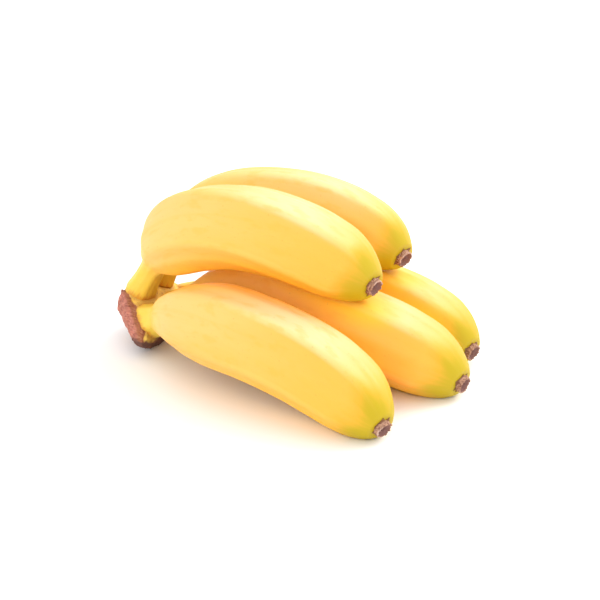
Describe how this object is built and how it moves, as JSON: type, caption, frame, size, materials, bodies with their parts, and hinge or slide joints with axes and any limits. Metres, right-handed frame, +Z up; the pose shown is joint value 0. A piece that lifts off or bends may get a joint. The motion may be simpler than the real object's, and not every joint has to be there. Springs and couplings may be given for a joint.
{
  "type": "baby banana hand",
  "caption": "Hand of small stubby bananas on a corky cut crown, two arched over three, lying on a surface, with dry brown blossom ends.",
  "frame": {"origin": "middle of the hand's bounding box, at the level of the surface that it lies on", "axes": "+Z up, +X from the crown towards the tips, +Y across the hand to the back fingers"},
  "size_m": [0.14, 0.0966, 0.0713],
  "materials": {
    "peel": "waxy ripe yellow peel, satin, with green at the tips and stalks",
    "blossom_end": "dry, dark brown and rough",
    "crown": "dry cork, reddish brown, fibrous and matt"
  },
  "bodies": {
    "root": {"banana_top_front": "peel", "banana_top_back": "peel", "banana_low_front": "peel", "banana_low_mid": "peel", "banana_low_back": "peel", "blossom_end_top_front": "blossom_end", "blossom_end_top_back": "blossom_end", "blossom_end_low_front": "blossom_end", "blossom_end_low_mid": "blossom_end", "blossom_end_low_back": "blossom_end", "crown": "crown"}
  },
  "joints": []
}
